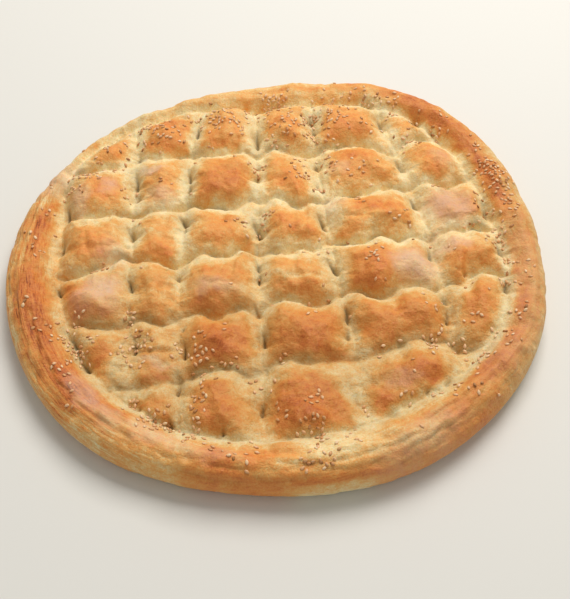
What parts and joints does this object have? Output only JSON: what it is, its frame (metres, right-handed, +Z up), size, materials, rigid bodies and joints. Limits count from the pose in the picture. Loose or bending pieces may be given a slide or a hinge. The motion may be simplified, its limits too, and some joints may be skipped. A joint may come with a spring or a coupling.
{
  "type": "turkish bread",
  "caption": "Round, flat Turkish bread with a rolled rim, puffed pillows of crust between finger-pressed grooves, and a scatter of sesame seeds; it rests on its flat base",
  "frame": {"origin": "on the flat base, in the middle of the loaf's length and width", "axes": "+Z up, through the loaf's thickness; +X to the loaf's right and +Y to its back, as it lies in the picture"},
  "size_m": [0.3125, 0.3062, 0.0276],
  "materials": {
    "crust": "baked golden-brown crust, pale in the grooves, satin where it puffed up"
  },
  "bodies": {
    "root": {"loaf": "crust"}
  },
  "joints": []
}
